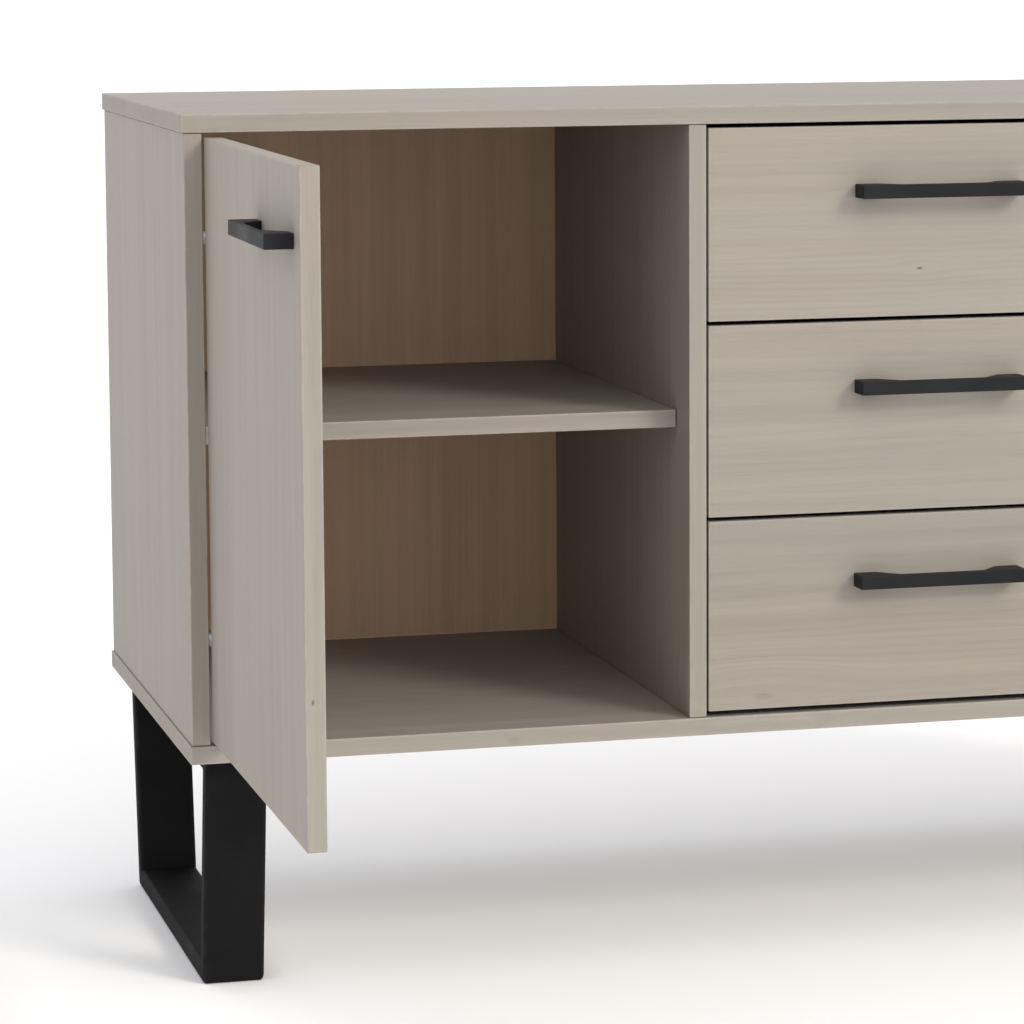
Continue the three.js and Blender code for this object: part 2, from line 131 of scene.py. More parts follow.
# Each wood: how strongly its rings, streaks and fibres show, how rough its smoothest parts are,
# and how strongly its pores show.
WOODS = {
    "greige_wood": (0.13, 0.40, 0.22, 0.50, 0.55),
    "inner_wood": (0.13, 0.40, 0.22, 0.54, 0.55),
    "back_board": (0.05, 0.34, 0.20, 0.62, 0.4),
    "drawer_wood": (0.28, 0.34, 0.24, 0.46, 0.6),
}
GREIGE_CAST = (0.985, 0.970, 0.945)
BACK_CAST = (0.90, 0.965, 0.88)
BOX_CAST = (0.97, 0.94, 0.90)
BARE_REVERSE = (0.56, 0.57, 0.58)
END_GRAIN = (0.90, 0.885, 0.86)

# The figure, as noise drawn out along the grain: scale along it and across it, scale of the
# whole, detail and roughness.
FIGURE = {
    "bend": (1.3, 5.0, 1.0, 2.0, 0.5),
    "lean": (0.7, 1.5, 1.0, 2.0, 0.5),
    "wobble": (3.0, 45.0, 1.0, 3.0, 0.5),
    "fading": (1.1, 14.0, 1.0, 2.0, 0.5),
    "streak": (0.9, 26.0, 1.0, 4.0, 0.6),
    "band": (1.2, 80.0, 1.0, 3.0, 0.5),
    "broad": (0.45, 5.0, 1.0, 2.0, 0.5),
    "fibre": (9.0, 480.0, 1.0, 3.0, 0.65),
    "pore": (34.0, 1500.0, 1.0, 1.0, 0.5),
    "shade": (0.5, 7.0, 1.3, 2.0, 0.5),
}
# The part of each noise that is stretched to its full range.
SPANS = {
    "fading": (0.38, 0.64), "streak": (0.28, 0.72), "band": (0.28, 0.72), "broad": (0.3, 0.7),
    "fibre": (0.25, 0.75), "pore": (0.60, 0.74), "shade": (0.42, 0.66),
}
YEAR = 0.0062  # width of a yearly ring
RING_BEND = 0.03  # how far the rings sway across the board
RING_LEAN = 0.07  # and through it
RING_WOBBLE = 0.0050  # and how far a ring strays by itself
KNOT_LENGTH = 2.8  # a knot's length along the grain, of its width
KNOT_REACH = 13.0  # how far a knot pulls the grain, of its radius
RUBBED_EDGE = (0.0003, 0.0024)
SAWN_END = (0.0002, 0.0010)

# Black coatings: lowest and highest roughness, scale of the peel, and shine.
HANDLE_COAT = (0.50, 0.62, 900.0, 0.12)
LEG_COAT = (0.60, 0.74, 620.0, 0.06)

# Studio.
FLOOR_FIRST_RING = 0.5
FLOOR_RINGS = 14
FLOOR_SIDES = 96
FLOOR_DROP = 0.0002  # below the feet, so that the two don't share a plane
SENSOR_WIDTH = 36.0
NEAR_CLIP = 0.05

# Knots: board, where the branch comes through, its radius, how dark its heart is, and how
# far the branch runs through the board.
BRANCH = 0.04
KNOTS = (
    ("upper_drawer_front", (-0.0185, -0.0268, 0.6840), 0.0013, 1.0, BRANCH),
    ("lower_drawer_front", (-0.1800, -0.0268, 0.2640), 0.0040, 0.22, BRANCH),
    ("lower_drawer_front", (0.1600, -0.0268, 0.3700), 0.0012, 0.6, BRANCH),
    ("middle_drawer_front", (0.2130, -0.0268, 0.5900), 0.0010, 0.5, BRANCH),
    ("left_door_panel", (-0.7221, -0.4978, 0.3777), 0.0011, 0.9, 0.0016),
    ("left_door_panel", (-0.7285, -0.1500, 0.4900), 0.0014, 0.4, BRANCH),
    ("right_door_panel", (0.5200, -0.0268, 0.4300), 0.0024, 0.8, BRANCH),
    ("top_panel", (0.4300, 0.1900, 0.8470), 0.0028, 0.7, BRANCH),
    ("bottom_panel", (-0.4338, -0.0288, 0.2348), 0.0026, 0.16, 0.0040),
    ("right_side_panel", (0.7480, 0.3000, 0.6000), 0.0026, 0.7, BRANCH),
    ("left_side_panel", (-0.7480, 0.2600, 0.3900), 0.0015, 0.3, BRANCH),
)

rng = np.random.default_rng(17)


# ---------------------------------------------------------------- settings


def length(name, description, default, low=0.0, high=10.0):
    """A length in metres, for a settings group."""
    return FloatProperty(
        name=name, description=description, default=default, min=low, max=high, unit="LENGTH"
    )


def colour(name, description, default):
    """A linear colour, for a settings group."""
    return FloatVectorProperty(
        name=name, description=description, default=default, size=3, min=0.0, max=1.0,
        subtype="COLOR",
    )


def angle(name, description, degrees, low=-180, high=180):
    """An angle, given in degrees, for a settings group."""
    return FloatProperty(
        name=name, description=description, default=math.radians(degrees),
        min=math.radians(low), max=math.radians(high), subtype="ANGLE",
    )


def share(name, description, default, high=1.0):
    """A plain number from nothing to high, for a settings group."""
    return FloatProperty(
        name=name, description=description, default=default, min=0.0, max=high,
        subtype="FACTOR",
    )


class BoardSettings(PropertyGroup):
    """Sizes and colours of the boards."""

    edge_radius: length("Edge radius", "Rounding along the edges of the boards", 0.0011)
    edge_steps: IntProperty(
        name="Edge steps", description="Flats in a quarter turn of an edge", default=4,
        min=1, max=8,
    )
    thin_edge_radius: length("Thin edge radius", "Rounding of the thin back and trays", 0.0004)
    arris: length("Arris", "Width of the chamfer on boards with bores or grooves", 0.0008)
    greige_deep: colour("Greige, deep", "Stained wood's dark streaks", (0.223, 0.200, 0.170))
    greige_pale: colour("Greige, pale", "Stained wood's pale streaks", (0.308, 0.278, 0.239))
    back_deep: colour("Back, deep", "Thin back's dark streaks", (0.432, 0.284, 0.189))
    back_pale: colour("Back, pale", "Thin back's pale streaks", (0.624, 0.430, 0.295))
    box_deep: colour("Drawer wood, deep", "Drawer sides' dark streaks", (0.36, 0.27, 0.17))
    box_pale: colour("Drawer wood, pale", "Drawer sides' pale streaks", (0.52, 0.42, 0.29))
    knot: colour("Knot", "Heart of a knot", (0.085, 0.062, 0.045))


class MetalSettings(PropertyGroup):
    """Sizes and colours of the legs, handles and fittings."""

    tube: length("Tube", "Thin side of the leg tube", 0.020)
    top_bar: length("Top bar", "Depth of the bar under the carcass", 0.0137)
    tube_edge: length("Tube edge", "Rounding along the tube's edges", 0.0040)
    foot_corner: length("Foot corner", "Outer radius of the bends at the floor", 0.0055)
    head_corner: length("Head corner", "Outer radius of the bends under the carcass", 0.0030)
    inner_corner: length("Inner corner", "Radius inside each bend", 0.0025)
    bar: length("Handle bar", "Thickness of a handle's bar", 0.0060)
    foot: length("Handle foot", "Length of each foot of a handle", 0.0230)
    handle_corner: length("Handle corner", "Rounding of a handle's corners", 0.0010)
    screw_spacing: length("Screw spacing", "Between the two screws of a handle", 0.160)
    steel_black: colour("Leg coating", "Coating of the legs", (0.0058, 0.0058, 0.0060))
    handle_black: colour("Handle coating", "Coating of the handles", (0.0105, 0.0105, 0.0108))
    # Paler colour for the rounded edges of the coating: rubbed coating and a painted highlight.
    worn_and_highlit: colour("Worn coating", "Black coating where edges have rubbed", (0.022, 0.022, 0.023))
    zinc: colour("Zinc", "Plated steel of the hinges and runners", (0.56, 0.57, 0.58))


class StageSettings(PropertyGroup):
    """Floor, light and camera."""

    floor_radius: length("Floor radius", "How far the floor reaches", 260.0, 5.0, 1000.0)
    floor_colour: colour("Floor colour", "Pale floor", (0.92, 0.915, 0.908))
    sky: share("Sky", "Strength of the even light from all round", 1.138, 5.0)
    sky_colour: colour("Sky colour", "Tint of the even light", (0.958, 0.966, 1.0))
    key: share("Key", "Strength of the soft light from the upper right", 1.42, 20.0)
    fill: share("Fill", "Strength of the broad light around the key", 0.60, 20.0)
    key_colour: colour("Key colour", "Tint of the key light", (1.0, 0.948, 0.850))
    key_spread: angle("Key spread", "Apparent width of the key light", 18, 0)
    fill_spread: angle("Fill spread", "Apparent width of the broad light", 110, 0)
    key_height: angle("Key height", "Key light above the horizon", 30, 0, 90)
    key_side: angle("Key side", "Key light to the right of straight ahead", 36)
    camera_place: FloatVectorProperty(
        name="Camera place", description="Where the camera stands",
        default=(-1.3294, -3.6436, 1.0127), size=3, subtype="XYZ", unit="LENGTH",
    )
    camera_yaw: angle("Camera yaw", "Camera's turn to the right of straight ahead", 14.679)
    camera_pitch: angle("Camera pitch", "How far the camera looks down", 6.356)
    camera_roll: angle("Camera roll", "Camera's lean", -0.270)
    camera_lens: FloatProperty(
        name="Lens", description="Focal length on a 36 mm sensor", default=137.17, unit="CAMERA"
    )
    camera_shift: FloatVectorProperty(
        name="Lens shift", description="Sideways and upward shift of the picture",
        default=(-0.05, -0.14), size=2,
    )


# ---------------------------------------------------------------- surfaces


def stitch(index, closed):
    """Quads between neighbouring rows and columns of a grid of vertex numbers."""
    if closed:
        index = np.concatenate([index, index[:, :1]], axis=1)
    return np.stack(
        [index[:-1, :-1], index[:-1, 1:], index[1:, 1:], index[1:, :-1]], axis=-1
    ).reshape(-1, 4)


def face_lists(quads, caps=()):
    """Corners and starts of the faces: each quad without its repeated corner, then flat caps."""
    keep = quads != np.roll(quads, -1, axis=1)
    keep &= (keep.sum(1) >= 3)[:, None]
    counts = keep.sum(1)
    counts = np.concatenate([counts[counts > 0], [len(cap) for cap in caps]]).astype(int)
    corners = np.concatenate([quads[keep], *caps]).astype(int)
    return corners, np.concatenate([[0], np.cumsum(counts)[:-1]])


def mesh_piece(name, points, normals, corners, starts, rim=None):
    """A smooth mesh object from whole arrays, with its own vertex normals."""
    used, corners = np.unique(corners, return_inverse=True)
    points, normals = points.reshape(-1, 3)[used], normals.reshape(-1, 3)[used]
    mesh = bpy.data.meshes.new(name)
    mesh.vertices.add(len(points))
    mesh.vertices.foreach_set("co", points.astype(np.float32).ravel())
    mesh.loops.add(len(corners))
    mesh.loops.foreach_set("vertex_index", corners.astype(np.int32).ravel())
    mesh.polygons.add(len(starts))
    mesh.polygons.foreach_set("loop_start", starts.astype(np.int32))
    mesh.polygons.foreach_set("use_smooth", np.ones(len(starts), bool))
    mesh.update(calc_edges=True)
    if mesh.validate():
        raise RuntimeError(f"{name}: its faces don't join up")
    mesh.normals_split_custom_set_from_vertices(normals.tolist())
    if rim is not None:
        marked = mesh.attributes.new("rim", "FLOAT", "POINT")
        marked.data.foreach_set("value", rim.reshape(-1)[used].astype(np.float32))
    piece = bpy.data.objects.new(name, mesh)
    bpy.context.scene.collection.objects.link(piece)
    return piece


def grid_of(shape, *parts):
    """Vectors on a grid of that shape, from their parts."""
    return np.stack([np.broadcast_to(part, shape) for part in parts], axis=-1)


def rounded_board(name, low, high, radius, steps):
    """A board with round edges: a small ball carried over the corners of a smaller box.

    Longitude makes a quarter turn at each of the four upright edges and latitude one at the
    lower rim and one at the upper rim. A point is the nearest corner of the smaller box plus
    the radius times the outward direction, and the flat faces are the spans between.
    """
    middle, inner = (low + high) / 2, (high - low) / 2 - radius
    quarter = np.linspace(0, np.pi / 2, steps + 1)
    longitude = (quarter + np.arange(4)[:, None] * np.pi / 2).ravel()
    latitude = np.concatenate([quarter - np.pi / 2, quarter])[:, None]
    corner = np.repeat([[1, 1], [-1, 1], [-1, -1], [1, -1]], steps + 1, axis=0)
    level = np.repeat([-1, 1], steps + 1)[:, None]
    shape = (len(latitude), len(longitude))
    around = np.cos(latitude)
    normals = grid_of(
        shape, around * np.cos(longitude), around * np.sin(longitude), np.sin(latitude)
    )
    sign = grid_of(shape, corner[:, 0], corner[:, 1], level)
    points = middle + sign * inner + radius * normals
    index = np.arange(shape[0] * shape[1]).reshape(shape)
    first = np.arange(4).repeat(steps + 1) * (steps + 1)
    index[0], index[-1] = index[0, first], index[-1, first]
    caps = [index[0, :: steps + 1][::-1], index[-1, :: steps + 1]]
    return mesh_piece(name, points, normals, *face_lists(stitch(index, True), caps))


def rounded_outline(corners, radii, steps):
    """A closed outline, drawn anticlockwise, whose corners are arcs.

    Each arc touches both sides of its corner: a point of it is the arc's middle plus the
    radius times the outward normal, which turns evenly from one side's to the next one's.
    On a hollow corner the radius counts the other way. Returns points, normals and how near
    each point is to the middle of its arc.
    """
    corners, radii = np.asarray(corners, float), np.asarray(radii, float)
    leaving = np.roll(corners, -1, axis=0) - corners
    leaving /= np.linalg.norm(leaving, axis=1, keepdims=True)
    arriving = np.roll(leaving, 1, axis=0)
    turn = np.arctan2(
        arriving[:, 0] * leaving[:, 1] - arriving[:, 1] * leaving[:, 0],
        (arriving * leaving).sum(1),
    )
    before = np.stack([arriving[:, 1], -arriving[:, 0]], axis=1)
    after = np.stack([leaving[:, 1], -leaving[:, 0]], axis=1)
    reach = (np.sign(turn) * radii)[:, None]
    middle = corners - reach * (before + after) / (1 + (before * after).sum(1))[:, None]
    part = np.linspace(0, 1, steps + 1)
    angle = np.arctan2(before[:, 1], before[:, 0])[:, None] + part * turn[:, None]
    normals = np.stack([np.cos(angle), np.sin(angle)], axis=-1)
    points = middle[:, None] + reach[:, None] * normals
    rim = np.broadcast_to(np.sin(np.pi * part), angle.shape)
    return points.reshape(-1, 2), normals.reshape(-1, 2), rim.ravel()


def carried_outline(name, outline, start, end, rounding, steps, axes):
    """An outline carried along a straight line, its two ends rounded over.

    Over each end, with t from 0 to a quarter turn, the outline is drawn in by rounding times
    (1 - sin t) and stands rounding times (1 - cos t) from the end. axes are the two axes of
    the outline and the one it is carried along, in right-handed order.
    """
    flat, flat_normals, arc = outline
    quarter = np.linspace(0, np.pi / 2, steps + 1)
    back = 1 - np.cos(quarter)
    along = np.concatenate([start + rounding * back, end - rounding * back[::-1]])
    tilt = np.concatenate([quarter, quarter[::-1]])[:, None]
    facing = np.repeat([-1.0, 1.0], steps + 1)[:, None]
    shape = (len(along), len(flat))
    drawn = flat - (rounding * (1 - np.sin(tilt)))[..., None] * flat_normals
    order = np.argsort(axes)
    points = grid_of(shape, drawn[..., 0], drawn[..., 1], along[:, None])[..., order]
    one, other = (np.sin(tilt) * part for part in flat_normals.T)
    normals = grid_of(shape, one, other, facing * np.cos(tilt))[..., order]
    rim = np.maximum(np.sin(2 * tilt), arc)
    index = np.arange(shape[0] * shape[1]).reshape(shape)
    caps = [index[0, ::-1], index[-1]]
    return mesh_piece(name, points, normals, *face_lists(stitch(index, True), caps), rim)


def sled_tube(name, low, high, foot_inset, settings, steps=6):
    """A flat tube carried once round a frame that narrows to the floor.

    Station s pairs a point of the frame's outer outline with one of its inner outline, both
    with rounded corners. The section is a rounded rectangle: with t once round it, the width
    runs by cos t and the way from the inner outline to the outer one by sin t.
    """
    tube, edge = settings.tube, settings.tube_edge
    slope = foot_inset / (high[Z] - low[Z])
    levels = (low[Z] + tube, high[Z] - settings.top_bar)
    inset = [slope * (high[Z] - z) + tube for z in levels]

    def outline(insets, heights, radii):
        """The frame's outline, drawn in by one inset at the floor and another at the top."""
        (foot, head), (bottom, top) = insets, heights
        corners = [
            (low[Y] + foot, bottom), (high[Y] - foot, bottom),
            (high[Y] - head, top), (low[Y] + head, top),
        ]
        return rounded_outline(corners, radii, steps)

    bends = [settings.foot_corner] * 2 + [settings.head_corner] * 2
    outer, normals, _ = outline((foot_inset, 0.0), (low[Z], high[Z]), bends)
    inner, _, _ = outline(inset, levels, [settings.inner_corner] * 4)
    quarter = np.linspace(0, np.pi / 2, steps + 1)
    round_t = (quarter + np.arange(4)[:, None] * np.pi / 2).ravel()
    side = np.repeat([1, -1, -1, 1], steps + 1)
    far = np.repeat([1, 1, 0, 0], steps + 1)
    middle, half = (low[X] + high[X]) / 2, (high[X] - low[X]) / 2
    part = edge / tube
    width = middle + side * (half - edge) + edge * np.cos(round_t)
    out = far * (1 - 2 * part) + part + part * np.sin(round_t)
    points = np.empty((len(outer), len(round_t), 3))
    points[..., X] = width
    points[..., 1:] = inner[:, None] + (outer - inner)[:, None] * out[:, None]
    directions = np.empty_like(points)
    directions[..., X] = np.cos(round_t)
    directions[..., 1:] = normals[:, None] * np.sin(round_t)[:, None]
    rim = np.broadcast_to(np.abs(np.sin(2 * round_t)), points.shape[:2])
    index = np.arange(len(outer) * len(round_t)).reshape(points.shape[:2])
    index = np.concatenate([index, index[:1]])
    return mesh_piece(name, points, directions, *face_lists(stitch(index, True)), rim)


def turned_row(name, profile, centres, axis, cross=0.0, sides=28, closed=True):
    """Round pieces turned about one direction, all in one mesh.

    With t once round, a point of a piece is its centre, plus the profile's radius times the
    direction at t, plus the profile's height along the axis. With a cross depth, the height
    drops inside two crossed slots, which makes the hollow for a driver.
    """
    centres, axis = np.asarray(centres, float).reshape(-1, 3), np.asarray(axis, float)
    across = np.roll(np.abs(axis), 1)
    up = np.cross(axis, across)
    radius, height = np.asarray(profile, float).T[..., None]
    t = np.linspace(0, 2 * np.pi, sides, endpoint=False)
    rise = np.broadcast_to(height, (len(profile), sides)).copy()
    if cross:
        reach = radius.max()
        near = np.minimum(np.abs(radius * np.sin(t)), np.abs(radius * np.cos(t)))
        slot = np.clip((0.17 * reach - near) / (0.08 * reach), 0, 1)
        rise -= cross * slot * np.clip((0.62 * reach - radius) / (0.12 * reach), 0, 1)
    ring = np.cos(t)[:, None] * across + np.sin(t)[:, None] * up
    one = radius[..., None] * ring + rise[..., None] * axis
    points = centres[:, None, None] + one
    rows, columns = one.shape[:2]
    index = np.arange(rows * columns).reshape(rows, columns)
    index[0] = index[0, 0]
    offsets = np.arange(len(centres)) * rows * columns
    quads = (stitch(index, True)[:, ::-1] + offsets[:, None, None]).reshape(-1, 4)
    caps = list(index[-1, ::-1] + offsets[:, None]) if closed else ()
    # Zero normals leave each vertex to be shaded from its faces.
    piece = mesh_piece(name, points, np.zeros_like(points), *face_lists(quads, caps))
    piece.data.set_sharp_from_angle(angle=TURNED_CREASE)
    return piece


def traced(node, name):
    """A merged copy of a frame piece's mesh, for shapes with bores, grooves or bends."""
    shell = bmesh.new()
    shell.from_mesh(frame["nodes"][node].data)
    bmesh.ops.remove_doubles(shell, verts=shell.verts, dist=1e-6)
    mesh = bpy.data.meshes.new(name)
    shell.to_mesh(mesh)
    shell.free()
    mesh.materials.clear()
    mesh.polygons.foreach_set("use_smooth", np.ones(len(mesh.polygons), bool))
    piece = bpy.data.objects.new(name, mesh)
    bpy.context.scene.collection.objects.link(piece)
    return piece


def read(items, name, width=1, kind=float):
    """One property of all the vertices, corners or faces of a mesh, as rows."""
    values = np.empty(len(items) * width, kind)
    items.foreach_get(name, values)
    return values.reshape(-1, width) if width > 1 else values


def shade_arrises(piece, low, high, arris):
    """Makes a board's chamfers take the light as round edges do.

    A corner's normal points away from the nearest point of the board less its chamfers. In
    bores and grooves, where that isn't the way the face looks, the face's own normal stays.
    """
    mesh = piece.data
    places = read(mesh.vertices, "co", 3)
    away = places - np.clip(places, low + arris, high - arris)
    away /= np.maximum(np.linalg.norm(away, axis=1, keepdims=True), 1e-12)
    away = away[read(mesh.loops, "vertex_index", kind=int)]
    sides = read(mesh.polygons, "loop_total", kind=int)
    own = np.repeat(read(mesh.polygons, "normal", 3), sides, axis=0)
    on_arris = (away * own).sum(1) > ARRIS_FACING
    mesh.normals_split_custom_set(np.where(on_arris[:, None], away, own).tolist())


def corners_of(node):
    """A frame piece's lowest and highest corner, as arrays."""
    return tuple(np.array(corner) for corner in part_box(node))


def seat(piece, node, finish, stands_for=True):
    """Gives a piece its finish and its body, and hides the frame piece it stands for."""
    piece.data.materials.clear()
    piece.data.materials.append(finish)
    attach(piece, frame["nodes"][node]["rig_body"])
    if stands_for:
        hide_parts(node)
    return piece


def board_axes(low, high, grain):
    """The axes along the grain, across it and through the board."""
    rest = [axis for axis in (X, Y, Z) if axis != grain]
    through = min(rest, key=lambda axis: high[axis] - low[axis])
    across = next(axis for axis in rest if axis != through)
    return [grain, across, through]


def mark_grain(piece, low, high, grain):
    """Writes where each vertex lies in its board: along the grain, across it and through it.

    The half sizes let a material find the edges, and the shift puts every board at another
    place in the tree it was sawn from.
    """
    mesh = piece.data
    axes = board_axes(low, high, grain)
    place = (read(mesh.vertices, "co", 3) - (low + high) / 2)[:, axes]
    half = np.broadcast_to(((high - low) / 2)[axes], place.shape)
    drawn = rng.uniform(-1, 1, 4)
    shift = np.array([5 + 4 * drawn[0], 0.16 * drawn[1], 0.085 + 0.035 * drawn[2]])
    shift = np.broadcast_to(shift, place.shape)
    for name, values in (("board_place", place), ("board_half", half), ("board_shift", shift)):
        layer = mesh.attributes.new(name, "FLOAT_VECTOR", "POINT")
        layer.data.foreach_set("vector", values.astype(np.float32).ravel())
    tone = mesh.attributes.new("board_tone", "FLOAT", "POINT")
    tone.data.foreach_set("value", np.full(len(place), drawn[3], np.float32))


def lay_board(node, grain, slot, thin=False):
    """One plain board in place of its frame piece."""
    s = bpy.context.scene.sideboard_boards
    radius, steps = (s.thin_edge_radius, THIN_STEPS) if thin else (s.edge_radius, s.edge_steps)
    low, high = corners_of(node)
    piece = rounded_board(node + "_wood", low, high, radius, steps)
    mark_grain(piece, low, high, grain)
    return seat(piece, node, named_wood(slot))


def lay_cut_board(node, grain, slot):
    """One board with bores or grooves in place of its frame piece."""
    low, high = corners_of(node)
    piece = traced(node, node + "_wood")
    shade_arrises(piece, low, high, bpy.context.scene.sideboard_boards.arris)
    mark_grain(piece, low, high, grain)
    return seat(piece, node, named_wood(slot))


def fix_screws(node, kind, centres, axis):
    """Screw heads with a driver's cross, on the body of a frame piece."""
    radius, height = SCREWS[kind]
    profile = [(radius * r, height * (1 - HEAD_DOME * r * r)) for r in HEAD_RINGS]
    profile += [(radius * r, height * h) for r, h in HEAD_RIM]
    profile += [(radius, CONTACT)]
    cross = height * CROSS_DEPTH
    piece = turned_row(node + "_screws", profile, centres, axis, cross)
    return seat(piece, node, zinc_finish(), stands_for=False)


# ---------------------------------------------------------------- finishes


class Finish:
    """A material's node tree, laid out from left to right as nodes are added."""

    def __init__(self, name):
        self.material = bpy.data.materials.new(name)
        self.material.use_nodes = True
        self.tree = self.material.node_tree
        self.shader = self.tree.nodes["Principled BSDF"]
        self.shader.location = (3200, 0)
        self.tree.nodes["Material Output"].location = (3500, 0)
        self.count = 0

    def join(self, value, socket):
        if isinstance(value, bpy.types.NodeSocket):
            self.tree.links.new(value, socket)
        else:
            socket.default_value = value

    def node(self, kind, *inputs, **settings):
        node = self.tree.nodes.new("ShaderNode" + kind)
        node.location = (180 * (self.count // 5), -220 * (self.count % 5))
        self.count += 1
        for key, value in settings.items():
            setattr(node, key, value)
        for value, socket in zip(inputs, node.inputs):
            if value is not None:
                self.join(value, socket)
        return node

    def attribute(self, name, output="Vector"):
        return self.node("Attribute", attribute_name=name).outputs[output]

    def object_place(self):
        return self.node("TexCoord").outputs["Object"]

    def maths(self, operation, a, b=None, clamp=False):
        return self.node("Math", a, b, operation=operation, use_clamp=clamp).outputs[0]

    def plus(self, value, weight, base):
        """base plus value times weight."""
        return self.node("Math", value, weight, base, operation="MULTIPLY_ADD").outputs[0]

    def vector(self, operation, a, b=None):
        return self.node("VectorMath", a, b, operation=operation).outputs["Vector"]

    def number(self, operation, a, b=None):
        return self.node("VectorMath", a, b, operation=operation).outputs["Value"]

    def parts(self, vector):
        return self.node("SeparateXYZ", vector).outputs

    def noise(self, vector, scale=1.0, detail=2.0, rough=0.5):
        node = self.node("TexNoise", vector)
        node.inputs["Scale"].default_value = scale
        node.inputs["Detail"].default_value = detail
        node.inputs["Roughness"].default_value = rough
        return node.outputs["Fac"]

    def ramp(self, value, low, high, to_low=0.0, to_high=1.0, smooth=True):
        kind = "SMOOTHSTEP" if smooth else "LINEAR"
        node = self.node("MapRange", value, low, high, to_low, to_high, interpolation_type=kind)
        return node.outputs[0]

    def mix(self, a, b, factor, blend="MIX"):
        node = self.node("Mix", factor, data_type="RGBA", blend_type=blend)
        self.join(with_alpha(a), node.inputs[6])
        self.join(with_alpha(b), node.inputs[7])
        return node.outputs[2]

    def bump(self, height, distance, strength=1.0):
        node = self.node("Bump")
        node.inputs["Strength"].default_value = strength
        node.inputs["Distance"].default_value = distance
        self.join(height, node.inputs["Height"])
        self.tree.links.new(node.outputs["Normal"], self.shader.inputs["Normal"])

    def set(self, **values):
        for name, value in values.items():
            self.join(value, self.shader.inputs[name.replace("_", " ")])


def with_alpha(value):
    """A colour of three numbers, made four; a socket as it is."""
    return value if isinstance(value, bpy.types.NodeSocket) else (*value, 1.0)


